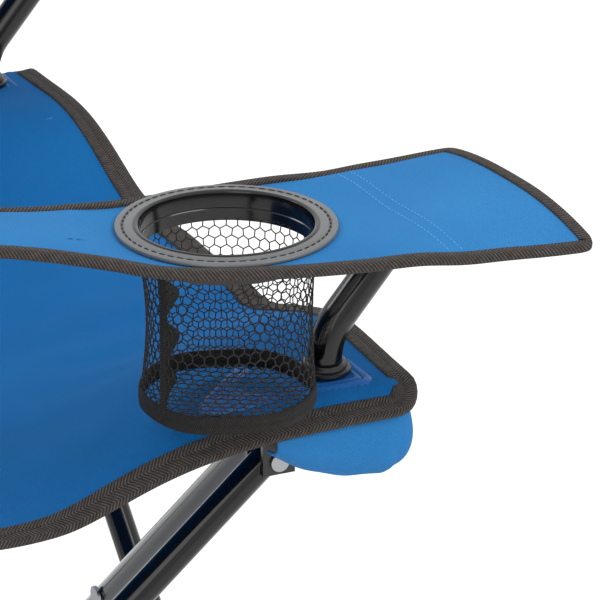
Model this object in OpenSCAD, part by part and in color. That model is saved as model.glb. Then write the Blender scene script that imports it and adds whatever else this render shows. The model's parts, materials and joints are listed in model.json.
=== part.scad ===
// Folding camp chair: four crossing pairs of steel tube, fabric seat, back and arms, net cup holder.
// Front is -Y, up is +Z, millimetres. The cup holder is in the arm on the -X side.

/* [Frame] */
// Distance between neighbouring feet, centre to centre, when open
foot_spacing = 468; // [420:2:520]
// Rise from the foot pivots to the hub pivots when open
rise = 380; // [340:5:430]
// Height of the foot pivots above the ground
foot_pivot_z = 28; // [27:1:34]
// Outside diameter of the leg tubes
leg_dia = 16; // [14:1:18]
// Wall of every steel tube
wall = 1.2; // [0.8:0.1:1.6]
// Half the distance between the two tubes of a crossing pair
layer = 10; // [9:0.5:12]
// Distance of each pivot from its corner centre, along the crossing pair
pivot_in = 18; // [18:1:22]
// Tube beyond the end pivots
tube_over = 11; // [9:1:12]
// Radius of the pivot pins
pin_r = 3; // [2:0.5:4]

/* [Arm posts] */
// Outside diameter of the arm posts
post_dia = 18; // [16:1:20]
// Bend radius of the arm posts
post_bend_r = 36; // [30:2:44]
// Lean of the middle of the arm posts
post_lean = 40; // [30:1:44]
// Straight length between the two bends
post_mid = 36; // [20:1:44]

/* [Back poles] */
// Height where the back poles start to lean
pole_bend_z = 650; // [645:1:700]
// Lean of the upper back poles
pole_lean = 10; // [0:1:18]
// Straight length above the bend
pole_top = 221; // [150:5:260]

/* [Fabric] */
// Thickness of the seat and back cloth
cloth_t = 3; // [2:0.5:5]
// Height of the arm cloth above the seat cloth
arm_rise = 100; // [90:1:160]
// Outer edge of the arm cloth at its front, from the middle plane
arm_outer = 352; // [340:1:370]
// Inner edge of the arm cloth at its front, from the middle plane
arm_inner = 215; // [205:1:225]
// Width of the arm cloth at its tail
arm_tail = 54; // [44:1:80]
// Height of the arm cloth's tail above its front
arm_climb = 80; // [0:5:120]
// Length of the arm cloth ahead of the ring centre
arm_front = 164; // [120:1:190]

/* [Cup holder] */
// Outside diameter of the cup ring
ring_dia = 111; // [100:1:120]
// Clear diameter of the cup ring
ring_bore = 87; // [80:1:92]
// Depth of the net cup below the arm
cup_depth = 88; // [80:1:120]
// Distance of the ring centre from the middle plane
ring_x = 268; // [260:1:300]
// Distance of the ring centre ahead of the middle
ring_y = 182; // [150:1:200]

/* [Hidden] */
$fn = 40;
half = foot_spacing / 2;
leg_r = leg_dia / 2;
hub_z = foot_pivot_z + rise;
reach = foot_spacing - 2 * pivot_in;
tilt = atan2(rise, reach);
leg_len = sqrt(rise * rise + reach * reach);
out = 12;
gap = 0.4;
ear_t = 3;
ear_in = leg_r + gap;
ear_half = 9;
block_z = hub_z + 14.5;
block_top = hub_z + 34;
seat_z = block_top + gap;
plate_z = seat_z + cloth_t + gap;
plate_t = 4;
post_r = post_dia / 2;
boss_r = 14;
arm_z = seat_z + arm_rise;
arm_t = 4;
post_fwd = 2 * post_bend_r * (1 - cos(post_lean)) + post_mid * sin(post_lean);
post_rise = 2 * post_bend_r * sin(post_lean) + post_mid * cos(post_lean);
post_foot = block_z + 2;
post_low = (arm_z - 4) - post_foot - post_rise - 8;
back_low = seat_z + 30;
pole_y = half + out;
seat_edge = half + 50;
arm_tip = ring_y + arm_front;
arm_end = pole_y - leg_r - 0.8 - cloth_t - 0.6;
pole_cap_y = pole_y + (pole_top + 8.1) * sin(pole_lean);
back_tip = pole_cap_y + (leg_r + 2) * cos(pole_lean);
centre_y = (arm_tip - back_tip) / 2;

// Puts a corner's own frame at corner i: 0 front right, 1 front left, 2 rear left, 3 rear right.
module at_corner(i) {
  rotate([0, 0, 90 * i])
    translate([-half, -half, 0])
      children();
}

// Cylinder along X, centred.
module rod_x(r, h) {
  rotate([0, 90, 0])
    cylinder(r = r, h = h, center = true);
}

// Cylinder along Y, centred.
module rod_y(r, h) {
  rotate([90, 0, 0])
    cylinder(r = r, h = h, center = true);
}

// Moves the chair so that the middle of its box is at the origin.
module centred() {
  translate([0, centre_y, 0])
    children();
}

// Mirrors children for the chair's left side.
module left_side() {
  mirror([1, 0, 0])
    children();
}

// A pair of ears either side of a tube that turns about Y, from z0 to z1.
module ears_y(u, v, z0, z1, zp) {
  for (s = [-1, 1]) {
    difference() {
      translate([u - ear_half, v + s * (ear_in + ear_t / 2) - ear_t / 2, z0])
        cube([2 * ear_half, ear_t, z1 - z0]);
      translate([u, v, zp])
        rod_y(pin_r + 0.05, 60);
    }
  }
}

// The same for a tube that turns about X.
module ears_x(u, v, z0, z1, zp) {
  for (s = [-1, 1]) {
    difference() {
      translate([u + s * (ear_in + ear_t / 2) - ear_t / 2, v - ear_half, z0])
        cube([ear_t, 2 * ear_half, z1 - z0]);
      translate([u, v, zp])
        rod_x(pin_r + 0.05, 60);
    }
  }
}

// Headed pin, along Z, centred.
module pin_z() {
  span = 2 * (ear_in + ear_t);
  cylinder(r = pin_r, h = span + 2, center = true);
  for (s = [-1, 1])
    translate([0, 0, s * (span / 2 + 0.05 + 0.9)])
      cylinder(r = 5, h = 1.8, center = true);
}

// Round-cornered slab.
module slab(x0, y0, x1, y1, z0, z1, r) {
  translate([x0 + r, y0 + r, z0])
    cube([x1 - x0 - 2 * r, y1 - y0 - 2 * r, z1 - z0]);
  translate([x0 + r, y0, z0])
    cube([x1 - x0 - 2 * r, r, z1 - z0]);
  translate([x0 + r, y1 - r, z0])
    cube([x1 - x0 - 2 * r, r, z1 - z0]);
  translate([x0, y0 + r, z0])
    cube([r, y1 - y0 - 2 * r, z1 - z0]);
  translate([x1 - r, y0 + r, z0])
    cube([r, y1 - y0 - 2 * r, z1 - z0]);
  for (p = [[x0 + r, y0 + r], [x1 - r, y0 + r], [x0 + r, y1 - r], [x1 - r, y1 - r]])
    translate([p[0], p[1], z0])
      cylinder(r = r, h = z1 - z0);
}

module foot(socket) {
  difference() {
    union() {
      slab(-26, -26, 29, 29, 0, 13, 8);
      ears_y(pivot_in, -layer, 12, foot_pivot_z + 9, foot_pivot_z);
      ears_x(layer, pivot_in, 12, foot_pivot_z + 9, foot_pivot_z);
      translate([-out, -out, 0])
        cylinder(r = 13, h = socket ? 46 : 20);
    }
    if (socket)
      translate([-out, -out, 8])
        cylinder(r = leg_r + 0.1, h = 60);
  }
}

module foot_pins() {
  translate([pivot_in, -layer, foot_pivot_z])
    rotate([90, 0, 0])
      pin_z();
  translate([layer, pivot_in, foot_pivot_z])
    rotate([0, 90, 0])
      pin_z();
}

module hub(bore_r, blind) {
  boss_low = blind ? hub_z + 4 : hub_z - 14;
  difference() {
    union() {
      slab(-26, -26, 30, 30, block_z, block_top, 8);
      ears_y(pivot_in, layer, hub_z - 7, block_z + 1, hub_z);
      ears_x(-layer, pivot_in, hub_z - 7, block_z + 1, hub_z);
      translate([-out, -out, boss_low])
        cylinder(r = 13, h = block_top - boss_low);
    }
    translate([-out, -out, blind ? block_z + 2 - gap : hub_z - 20])
      cylinder(r = bore_r, h = 100);
  }
}

module hub_pins() {
  translate([pivot_in, layer, hub_z])
    rotate([90, 0, 0])
      pin_z();
  translate([-layer, pivot_in, hub_z])
    rotate([0, 90, 0])
      pin_z();
}

// Leg tube in the front plane, rising towards +X; side -1 is the outer layer.
module leg(dir, side) {
  translate([0, -half + side * layer, foot_pivot_z + rise / 2])
    rotate([0, dir * (90 - tilt), 0])
      difference() {
        cylinder(r = leg_r, h = leg_len + 2 * tube_over, center = true);
        cylinder(r = leg_r - wall, h = leg_len + 2 * tube_over + 2, center = true);
        for (z = [-leg_len / 2, 0, leg_len / 2])
          translate([0, 0, z])
            rod_y(pin_r + 0.05, 40);
      }
}

module rivet() {
  translate([0, -half, foot_pivot_z + rise / 2])
    rotate([90, 0, 0]) {
      cylinder(r = pin_r, h = 2 * (layer + leg_r) + 2, center = true);
      cylinder(r = 6.5, h = 2 * (layer - leg_r) - 0.7, center = true);
      for (s = [-1, 1])
        translate([0, 0, s * (layer + leg_r + 0.1 + 1.1)])
          cylinder(r = 6, h = 2.2, center = true);
    }
}

// Points of a bend in the YZ plane from p, turning from lean a to lean b, in equal steps.
function bend_points(p, bend_r, a, b, steps) = [
  for (i = [1:steps])
    let (t = a + (b - a) * i / steps, s = sign(b - a))
      [p[0] + s * bend_r * (cos(t) - cos(a)), p[1] + s * bend_r * (sin(t) - sin(a))]
];

// Round bar through points in the YZ plane; first and last lengthen its two ends.
module chain(pts, r, first, last) {
  n = len(pts) - 1;
  lap = r * 0.16 + 0.4;
  for (i = [0:n - 1]) {
    d = pts[i + 1] - pts[i];
    low = i == 0 ? first : lap;
    high = i == n - 1 ? last : lap;
    translate([0, pts[i][0], pts[i][1]])
      rotate([atan2(-d[0], d[1]), 0, 0])
        translate([0, 0, -low])
          cylinder(r = r, h = norm(d) + low + high);
  }
}

module tube_chain(pts, r, bore) {
  difference() {
    chain(pts, r, 0, 0);
    chain(pts, bore, 1, 1);
  }
}

// Arm post from its foot up: straight, forward bend, straight, bend back, straight.
post_a = [0, post_low];
post_b = bend_points(post_a, post_bend_r, 0, post_lean, 2);
post_c = post_b[1] + post_mid * [-sin(post_lean), cos(post_lean)];
post_d = bend_points(post_c, post_bend_r, post_lean, 0, 2);
post_pts = concat([[0, 0], post_a], post_b, [post_c], post_d, [post_d[1] + [0, 8]]);

// Back pole from z upwards, leaning back above the bend by the length high.
function pole_pts(z, high) = [
  [0, z],
  [0, pole_bend_z],
  [high * sin(pole_lean), pole_bend_z + high * cos(pole_lean)]
];

module arm_post() {
  at_corner(0)
    translate([-out, -out, post_foot])
      tube_chain(post_pts, post_r, post_r - wall);
}

module post_cap() {
  translate([-half - out, -half - out - post_fwd, arm_z - 4 + 0.1]) {
    cylinder(r = 14, h = 3.4);
    translate([0, 0, -9])
      cylinder(r = post_r - wall - 0.1, h = 10);
  }
}

module post_collar() {
  translate([-half - out, -half - out, plate_z + plate_t + 0.1])
    difference() {
      union() {
        cylinder(r = 13.5, h = 3);
        cylinder(r = 11.5, h = 6);
      }
      translate([0, 0, -1])
        cylinder(r = post_r + 0.1, h = 30);
    }
}

// Rounded triangle on the seat corner, with two raised ridges round the post.
module plate_outline(grow) {
  offset(r = 8 + grow, $fn = 48)
    polygon([[-25, -25], [56, -25], [-25, 56]]);
}

module corner_plate() {
  at_corner(0)
    difference() {
      union() {
        translate([0, 0, plate_z])
          linear_extrude(height = plate_t - 1.4)
            plate_outline(0);
        translate([0, 0, plate_z])
          linear_extrude(height = plate_t)
            difference() {
              plate_outline(-2);
              plate_outline(-4);
            }
        translate([0, 0, plate_z])
          linear_extrude(height = plate_t)
            plate_outline(-6);
      }
      translate([-out, -out, 0])
        cylinder(r = post_r + 0.2, h = 900);
    }
}

module back_pole() {
  translate([-half - out, pole_y, 0])
    tube_chain(pole_pts(8.2, pole_top), leg_r, leg_r - wall);
}

module pole_cap() {
  translate([-half - out, pole_y, pole_bend_z])
    rotate([-pole_lean, 0, 0])
      translate([0, 0, pole_top + 0.1]) {
        cylinder(r = leg_r + 2, h = 8);
        translate([0, 0, -12])
          cylinder(r = leg_r - wall - 0.1, h = 13);
      }
}

module corner_pouch() {
  at_corner(0)
    difference() {
      slab(-43, -43, 33, 33, hub_z - 4, block_top, 14);
      slab(-41, -41, 60, 60, hub_z - 40, block_top + 1, 13);
      translate([24, -40, 0])
        cube([60, 120, 900]);
      translate([-40, 24, 0])
        cube([120, 60, 900]);
    }
}

module seat_panel() {
  difference() {
    slab(-seat_edge, -seat_edge, seat_edge, seat_edge, seat_z, seat_z + cloth_t, 14);
    for (i = [0:3])
      at_corner(i)
        translate([-out, -out, 0])
          cylinder(r = post_r + 1, h = 900);
  }
}

// Outline of the back cloth's profile in the YZ plane, as a bent strip.
module back_strip() {
  top_y = (pole_top - 7) * sin(pole_lean);
  top_z = pole_bend_z + (pole_top - 7) * cos(pole_lean);
  polygon([
    [-cloth_t / 2, back_low + 0.2],
    [cloth_t / 2, back_low + 0.2],
    [cloth_t / 2, pole_bend_z],
    [top_y + cloth_t / 2, top_z],
    [top_y - cloth_t / 2, top_z],
    [-cloth_t / 2, pole_bend_z]
  ]);
}

// The back cloth lies in front of the poles, from one pole's outer side to the other's.
module back_panel() {
  width = 2 * (half + out) + leg_dia + 4;
  translate([-width / 2, pole_y - leg_r - 0.8 - cloth_t / 2, 0])
    rotate([90, 0, 90])
      linear_extrude(height = width)
        back_strip();
}

// Plan of the arm cloth: wide round the cup ring, narrow behind it. Ends at the back cloth.
module arm_outline() {
  r = 12;
  front = -arm_tip + r;
  tail = arm_end - r;
  inner = -222 - r;
  offset(r = r, $fn = 48)
    polygon([
      [-arm_outer + r, front],
      [-arm_inner - r, front],
      [-212 - r, -ring_y - 10],
      [inner, -80],
      [inner, tail],
      [inner - arm_tail + 2 * r, tail],
      [inner - arm_tail + 2 * r, -60],
      [-290, -108],
      [-317, -152],
      [-329, -225]
    ]);
}

// Side profile of the arm cloth: level at the front, climbing to the back pole.
module arm_profile() {
  bend_y = -ring_y + 70;
  tail_y = pole_y + 40;
  polygon([
    [-arm_tip - 20, 0],
    [bend_y, 0],
    [tail_y, arm_climb],
    [tail_y, arm_climb + arm_t],
    [bend_y, arm_t],
    [-arm_tip - 20, arm_t]
  ]);
}

module armrest(cup) {
  translate([0, 0, arm_z])
    difference() {
      intersection() {
        linear_extrude(height = arm_climb + 20)
          arm_outline();
        translate([-ring_x - 150, 0, 0])
          rotate([90, 0, 90])
            linear_extrude(height = 300)
              arm_profile();
      }
      if (cup)
        translate([-ring_x, -ring_y, -1])
          cylinder(r = ring_bore / 2 + 3, h = 20, $fn = 96);
    }
}

module cup_ring() {
  translate([-ring_x, -ring_y, arm_z + arm_t + 0.1])
    rotate_extrude($fn = 96)
      polygon([
        [ring_bore / 2, -13],
        [ring_bore / 2 + 1.6, -13],
        [ring_bore / 2 + 1.6, -0.2],
        [ring_bore / 2 + 3, 0],
        [ring_dia / 2, 0],
        [ring_dia / 2, 1.6],
        [ring_dia / 2 - 2, 2.4],
        [ring_bore / 2 + 2, 2.4],
        [ring_bore / 2, 1.4]
      ]);
}

module cup_net() {
  r = ring_bore / 2 + 1.9;
  translate([-ring_x, -ring_y, arm_z - cup_depth])
    difference() {
      cylinder(r = r + 1, h = cup_depth - 0.3, $fn = 96);
      translate([0, 0, 1])
        cylinder(r = r, h = cup_depth, $fn = 96);
    }
}

foot_rr();
foot_fr();
foot_fl();
foot_rl();
foot_pins_rr();
foot_pins_fr();
foot_pins_fl();
foot_pins_rl();
leg_front_outer();
leg_left_outer();
leg_rear_outer();
leg_right_outer();
leg_front_inner();
leg_left_inner();
leg_rear_inner();
leg_right_inner();
rivet_front();
rivet_left();
rivet_rear();
rivet_right();
hub_fr();
hub_fl();
hub_rl();
hub_rr();
hub_pins_fr();
hub_pins_fl();
hub_pins_rl();
hub_pins_rr();
arm_post_right();
arm_post_left();
post_collar_right();
post_collar_left();
corner_plate_right();
corner_plate_left();
post_cap_right();
post_cap_left();
back_pole_right();
back_pole_left();
pole_cap_right();
pole_cap_left();
corner_pouch_right();
corner_pouch_left();
seat();  // seat_panel
back();  // back_panel
armrest_right();
armrest_left();
ring();  // cup_ring
net();  // cup_net

module foot_rr() { color([0.03, 0.03, 0.035]) centred() at_corner(3) foot(true); }
module foot_fr() { color([0.03, 0.03, 0.035]) centred() at_corner(0) foot(false); }
module foot_fl() { color([0.03, 0.03, 0.035]) centred() at_corner(1) foot(false); }
module foot_rl() { color([0.03, 0.03, 0.035]) centred() at_corner(2) foot(true); }
module foot_pins_rr() { color([0.6, 0.6, 0.62]) centred() at_corner(3) foot_pins(); }
module foot_pins_fr() { color([0.6, 0.6, 0.62]) centred() at_corner(0) foot_pins(); }
module foot_pins_fl() { color([0.6, 0.6, 0.62]) centred() at_corner(1) foot_pins(); }
module foot_pins_rl() { color([0.6, 0.6, 0.62]) centred() at_corner(2) foot_pins(); }
module leg_front_outer() { color([0.02, 0.02, 0.025]) centred() leg(1, -1); }
module leg_left_outer() { color([0.02, 0.02, 0.025]) centred() rotate([0, 0, 90]) leg(1, -1); }
module leg_rear_outer() { color([0.02, 0.02, 0.025]) centred() rotate([0, 0, 180]) leg(1, -1); }
module leg_right_outer() { color([0.02, 0.02, 0.025]) centred() rotate([0, 0, 270]) leg(1, -1); }
module leg_front_inner() { color([0.02, 0.02, 0.025]) centred() leg(-1, 1); }
module leg_left_inner() { color([0.02, 0.02, 0.025]) centred() rotate([0, 0, 90]) leg(-1, 1); }
module leg_rear_inner() { color([0.02, 0.02, 0.025]) centred() rotate([0, 0, 180]) leg(-1, 1); }
module leg_right_inner() { color([0.02, 0.02, 0.025]) centred() rotate([0, 0, 270]) leg(-1, 1); }
module rivet_front() { color([0.6, 0.6, 0.62]) centred() rivet(); }
module rivet_left() { color([0.6, 0.6, 0.62]) centred() rotate([0, 0, 90]) rivet(); }
module rivet_rear() { color([0.6, 0.6, 0.62]) centred() rotate([0, 0, 180]) rivet(); }
module rivet_right() { color([0.6, 0.6, 0.62]) centred() rotate([0, 0, 270]) rivet(); }
module hub_fr() { color([0.03, 0.03, 0.035]) centred() at_corner(0) hub(post_r + 0.1, true); }
module hub_fl() { color([0.03, 0.03, 0.035]) centred() at_corner(1) hub(post_r + 0.1, true); }
module hub_rl() { color([0.03, 0.03, 0.035]) centred() at_corner(2) hub(leg_r + 0.5, false); }
module hub_rr() { color([0.03, 0.03, 0.035]) centred() at_corner(3) hub(leg_r + 0.5, false); }
module hub_pins_fr() { color([0.6, 0.6, 0.62]) centred() at_corner(0) hub_pins(); }
module hub_pins_fl() { color([0.6, 0.6, 0.62]) centred() at_corner(1) hub_pins(); }
module hub_pins_rl() { color([0.6, 0.6, 0.62]) centred() at_corner(2) hub_pins(); }
module hub_pins_rr() { color([0.6, 0.6, 0.62]) centred() at_corner(3) hub_pins(); }
module arm_post_right() { color([0.02, 0.02, 0.025]) centred() arm_post(); }
module arm_post_left() { color([0.02, 0.02, 0.025]) centred() left_side() arm_post(); }
module post_collar_right() { color([0.03, 0.03, 0.035]) centred() post_collar(); }
module post_collar_left() { color([0.03, 0.03, 0.035]) centred() left_side() post_collar(); }
module corner_plate_right() { color([0.05, 0.12, 0.35]) centred() corner_plate(); }
module corner_plate_left() { color([0.05, 0.12, 0.35]) centred() left_side() corner_plate(); }
module post_cap_right() { color([0.03, 0.03, 0.035]) centred() post_cap(); }
module post_cap_left() { color([0.03, 0.03, 0.035]) centred() left_side() post_cap(); }
module back_pole_right() { color([0.02, 0.02, 0.025]) centred() back_pole(); }
module back_pole_left() { color([0.02, 0.02, 0.025]) centred() left_side() back_pole(); }
module pole_cap_right() { color([0.03, 0.03, 0.035]) centred() pole_cap(); }
module pole_cap_left() { color([0.03, 0.03, 0.035]) centred() left_side() pole_cap(); }
module corner_pouch_right() { color([0.05, 0.12, 0.35]) centred() corner_pouch(); }
module corner_pouch_left() { color([0.05, 0.12, 0.35]) centred() left_side() corner_pouch(); }
module seat() { color([0.05, 0.12, 0.35]) centred() seat_panel(); }
module back() { color([0.05, 0.12, 0.35]) centred() back_panel(); }
module armrest_right() { color([0.35, 0.55, 0.8]) centred() armrest(true); }
module armrest_left() { color([0.35, 0.55, 0.8]) centred() left_side() armrest(false); }
module ring() { color([0.02, 0.02, 0.022]) centred() cup_ring(); }
module net() { color([0.02, 0.02, 0.022]) centred() cup_net(); }
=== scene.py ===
import json
import math
import bpy
import numpy as np
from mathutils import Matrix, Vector

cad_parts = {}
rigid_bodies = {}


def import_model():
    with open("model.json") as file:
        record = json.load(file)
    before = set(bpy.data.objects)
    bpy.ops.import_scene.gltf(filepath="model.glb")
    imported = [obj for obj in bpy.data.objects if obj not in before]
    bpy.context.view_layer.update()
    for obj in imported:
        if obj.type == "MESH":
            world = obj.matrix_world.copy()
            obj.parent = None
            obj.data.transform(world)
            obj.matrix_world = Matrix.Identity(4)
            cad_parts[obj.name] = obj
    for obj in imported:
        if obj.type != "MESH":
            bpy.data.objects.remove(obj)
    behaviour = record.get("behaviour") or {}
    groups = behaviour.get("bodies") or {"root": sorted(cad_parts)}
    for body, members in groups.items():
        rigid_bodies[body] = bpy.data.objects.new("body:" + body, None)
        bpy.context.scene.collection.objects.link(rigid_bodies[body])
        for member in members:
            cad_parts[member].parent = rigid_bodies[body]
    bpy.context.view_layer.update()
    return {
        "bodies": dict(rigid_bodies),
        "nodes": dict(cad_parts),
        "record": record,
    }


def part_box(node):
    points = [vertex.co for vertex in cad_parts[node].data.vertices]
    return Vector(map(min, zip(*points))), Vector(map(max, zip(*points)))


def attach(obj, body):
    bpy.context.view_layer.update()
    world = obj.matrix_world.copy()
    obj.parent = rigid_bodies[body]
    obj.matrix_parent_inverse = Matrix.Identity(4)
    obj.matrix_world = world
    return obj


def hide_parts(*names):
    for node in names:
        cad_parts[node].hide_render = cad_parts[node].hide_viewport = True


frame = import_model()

bodies = frame["bodies"]
print("stage: frame loaded")


# Real places, in metres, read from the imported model.
def boxOf(name):
    lo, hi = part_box(name)
    return np.array(lo), np.array(hi)


seatLo, seatHi = boxOf("seat_panel")
ringLo, ringHi = boxOf("cup_ring")
centreY = (seatLo[1] + seatHi[1]) / 2
half = 0.234
layer = 0.010
pivotIn = 0.018
footZ = 0.028
hubZ = 0.408
out = half + 0.012
# At full fold the feet and hubs have drawn together by this much, and the hubs have risen by this much.
foldTravel = 0.3354
foldRise = 0.187
ringX = (ringLo[0] + ringHi[0]) / 2
ringY = (ringLo[1] + ringHi[1]) / 2


# Camera.
cameraSet = {"place": (-2.0025, 0.5766, 1.2767), "turn": 24.72, "down": 22.11, "lens": 247.1}
cam = bpy.data.objects.new("camera", bpy.data.cameras.new("camera"))
bpy.context.scene.collection.objects.link(cam)
turn, down = math.radians(cameraSet["turn"]), math.radians(cameraSet["down"])
look = Vector((math.cos(turn) * math.cos(down), -math.sin(turn) * math.cos(down), -math.sin(down)))
cam.location = Vector(cameraSet["place"]) + Vector((0, centreY, 0))
cam.rotation_mode = "QUATERNION"
cam.rotation_quaternion = look.to_track_quat("-Z", "Y")
cam.data.lens = cameraSet["lens"]
cam.data.sensor_width = 36
cam.data.clip_end = 50
bpy.context.scene.camera = cam


# Colours are written as sRGB hex and made linear here.
def linear(text):
    parts = [int(text[i : i + 2], 16) / 255 for i in (1, 3, 5)]
    return tuple(p / 12.92 if p <= 0.04045 else ((p + 0.055) / 1.055) ** 2.4 for p in parts) + (1.0,)


def node(tree, kind, **values):
    made = tree.nodes.new(kind)
    for key, value in values.items():
        if hasattr(made, key) and key not in made.inputs:
            setattr(made, key, value)
        elif hasattr(value, "is_linked"):
            tree.links.new(value, made.inputs[key])
        else:
            made.inputs[key].default_value = value
    return made


def maths(tree, operation, a, b=None):
    made = tree.nodes.new("ShaderNodeMath")
    made.operation = operation
    for slotIndex, value in enumerate((a, b)):
        if value is None:
            continue
        if hasattr(value, "is_linked"):
            tree.links.new(value, made.inputs[slotIndex])
        else:
            made.inputs[slotIndex].default_value = value
    return made.outputs[0]


def startMaterial(name):
    material = bpy.data.materials.new(name)
    material.use_nodes = True
    tree = material.node_tree
    return material, tree, tree.nodes["Principled BSDF"]


def link(tree, a, b):
    tree.links.new(a, b)


def mixColour(tree, fac, a, b):
    made = tree.nodes.new("ShaderNodeMix")
    made.data_type = "RGBA"
    link(tree, fac, made.inputs[0])
    for place, value in ((6, a), (7, b)):
        if hasattr(value, "is_linked"):
            link(tree, value, made.inputs[place])
        else:
            made.inputs[place].default_value = value
    return made.outputs[2]


def wavesOf(tree, axisValue, period):
    # A sine of the coordinate, one full turn each period metres, from -1 to 1.
    return maths(tree, "SINE", maths(tree, "MULTIPLY", axisValue, 2 * math.pi / period))


# Woven polyester: a plain weave of flat yarns, almost no gloss, slightly uneven dye. The weave is drawn
# coarser than in real cloth, because finer yarns would not show.
def clothMaterial(name, settings):
    material, tree, shader = startMaterial(name)
    uv = node(tree, "ShaderNodeUVMap", uv_map="flat").outputs[0]
    split = node(tree, "ShaderNodeSeparateXYZ", Vector=uv)
    across = wavesOf(tree, split.outputs[0], settings["yarn"])
    along = wavesOf(tree, split.outputs[1], settings["yarn"])
    weave = maths(tree, "MULTIPLY", across, along)
    fine = node(tree, "ShaderNodeTexNoise", Vector=uv, Scale=settings["grain"], Detail=2.0, Roughness=0.6)
    slow = node(tree, "ShaderNodeTexNoise", Vector=uv, Scale=9.0, Detail=2.0)
    height = maths(
        tree, "ADD", maths(tree, "MULTIPLY", weave, 0.5), maths(tree, "MULTIPLY", fine.outputs[0], 0.6),
    )
    mottle = maths(
        tree, "ADD", maths(tree, "MULTIPLY", slow.outputs[0], 0.7),
        maths(tree, "MULTIPLY", fine.outputs[0], 0.35),
    )
    tone = maths(tree, "ADD", maths(tree, "MULTIPLY", weave, 0.20), mottle)
    colour = mixColour(
        tree, maths(tree, "ADD", tone, 0.05), linear(settings["dark"]), linear(settings["light"]),
    )
    link(tree, colour, shader.inputs["Base Color"])
    bump = node(tree, "ShaderNodeBump", Strength=settings["bump"], Distance=0.00025, Height=height)
    link(tree, bump.outputs[0], shader.inputs["Normal"])
    shader.inputs["Roughness"].default_value = 0.9
    shader.inputs["Specular IOR Level"].default_value = 0.06
    shader.inputs["Sheen Weight"].default_value = 0.02
    shader.inputs["Sheen Roughness"].default_value = 0.4
    return material


# Ribbed binding tape: slanted ribs that meet in a herringbone, dark grey; the paler rib crowns are painted
# highlight, and fibre and patch noise give the tape's own uneven speckle.
def tapeMaterial(name, settings):
    material, tree, shader = startMaterial(name)
    uv = node(tree, "ShaderNodeUVMap", uv_map="flat").outputs[0]
    split = node(tree, "ShaderNodeSeparateXYZ", Vector=uv)
    slant = maths(tree, "PINGPONG", split.outputs[1], settings["panel"])
    place = maths(tree, "ADD", split.outputs[0], maths(tree, "MULTIPLY", slant, settings["slant"]))
    ribs = maths(tree, "ADD", maths(tree, "MULTIPLY", wavesOf(tree, place, settings["rib"]), 0.5), 0.5)
    fibre = node(tree, "ShaderNodeTexNoise", Vector=uv, Scale=1700.0, Detail=2.0)
    patchy = node(tree, "ShaderNodeTexNoise", Vector=uv, Scale=260.0, Detail=3.0)
    # Colour mask: rib crowns painted paler as painted highlight, times fibre and patch noise for the tape's
    # own speckle.
    crownHighlightAndSpeckle = maths(
        tree, "MULTIPLY", maths(tree, "MULTIPLY", ribs, fibre.outputs[0]),
        maths(tree, "MULTIPLY", patchy.outputs[0], 2.6),
    )
    colour = mixColour(tree, crownHighlightAndSpeckle, linear(settings["dark"]), linear(settings["light"]))
    link(tree, colour, shader.inputs["Base Color"])
    height = maths(tree, "ADD", ribs, maths(tree, "MULTIPLY", fibre.outputs[0], 0.5))
    bump = node(tree, "ShaderNodeBump", Strength=0.9, Distance=0.0004, Height=height)
    link(tree, bump.outputs[0], shader.inputs["Normal"])
    shader.inputs["Roughness"].default_value = 0.8
    shader.inputs["Specular IOR Level"].default_value = 0.3
    return material


# Plain solid finish with a little uneven gloss.
def plainMaterial(name, settings):
    material, tree, shader = startMaterial(name)
    place = node(tree, "ShaderNodeTexCoord").outputs["Object"]
    spots = node(tree, "ShaderNodeTexNoise", Vector=place, Scale=settings.get("scale", 60.0), Detail=3.0)
    rough = maths(
        tree, "ADD", maths(tree, "MULTIPLY", spots.outputs[0], settings.get("uneven", 0.08)),
        settings["rough"],
    )
    link(tree, rough, shader.inputs["Roughness"])
    shader.inputs["Base Color"].default_value = linear(settings["colour"])
    shader.inputs["Metallic"].default_value = settings.get("metal", 0.0)
    shader.inputs["Coat Weight"].default_value = settings.get("coat", 0.0)
    shader.inputs["Coat Roughness"].default_value = 0.06
    shader.inputs["Specular IOR Level"].default_value = settings.get("shine", 0.5)
    if settings.get("grain"):
        pores = node(tree, "ShaderNodeTexNoise", Vector=place, Scale=settings["grain"], Detail=2.0)
        bump = node(tree, "ShaderNodeBump", Strength=0.3, Distance=0.0002, Height=pores.outputs[0])
        link(tree, bump.outputs[0], shader.inputs["Normal"])
    return material


# Blue polyester of the arms and pouches, the brighter of the two.
armCloth = clothMaterial(
    "blue woven polyester, bright",
    {"dark": "#165a94", "light": "#377fb8", "yarn": 0.0013, "grain": 900.0, "bump": 1.0},
)
# The same cloth on the seat and back, darkened to a deeper tone as painted shade, because the seat and back
# lie in shade.
shadedSeatCloth = clothMaterial(
    "blue woven polyester, darkened for painted shade",
    {"dark": "#094c85", "light": "#1966a2", "yarn": 0.0013, "grain": 900.0, "bump": 0.8},
)
# Dark grey herringbone binding that gives every cloth edge its speckled line.
tape = tapeMaterial(
    "dark grey ribbed binding",
    {"dark": "#171514", "light": "#5b534e", "rib": 0.0019, "panel": 0.0062, "slant": 0.8},
)
# Blue thread, a shade lighter than the cloth, so that seams show as fine dashes.
thread = plainMaterial("blue sewing thread", {"colour": "#4f95d6", "rough": 0.6})
# Black thread on the ring and tape.
blackThread = plainMaterial("black sewing thread", {"colour": "#0a0a0a", "rough": 0.7})
# Gloss black powder coat: nearly black, with sharp pale reflections.
blackTube = plainMaterial(
    "gloss black coated steel",
    {"colour": "#050506", "rough": 0.13, "uneven": 0.05, "coat": 0.15, "shine": 0.32},
)
# Moulded black plastic with a satin face.
blackPlastic = plainMaterial("satin black plastic", {"colour": "#0d0d0e", "rough": 0.26, "grain": 900.0})
# Gloss black plastic inside the ring.
ringGloss = plainMaterial("polished black plastic", {"colour": "#09090a", "rough": 0.12})
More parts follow.
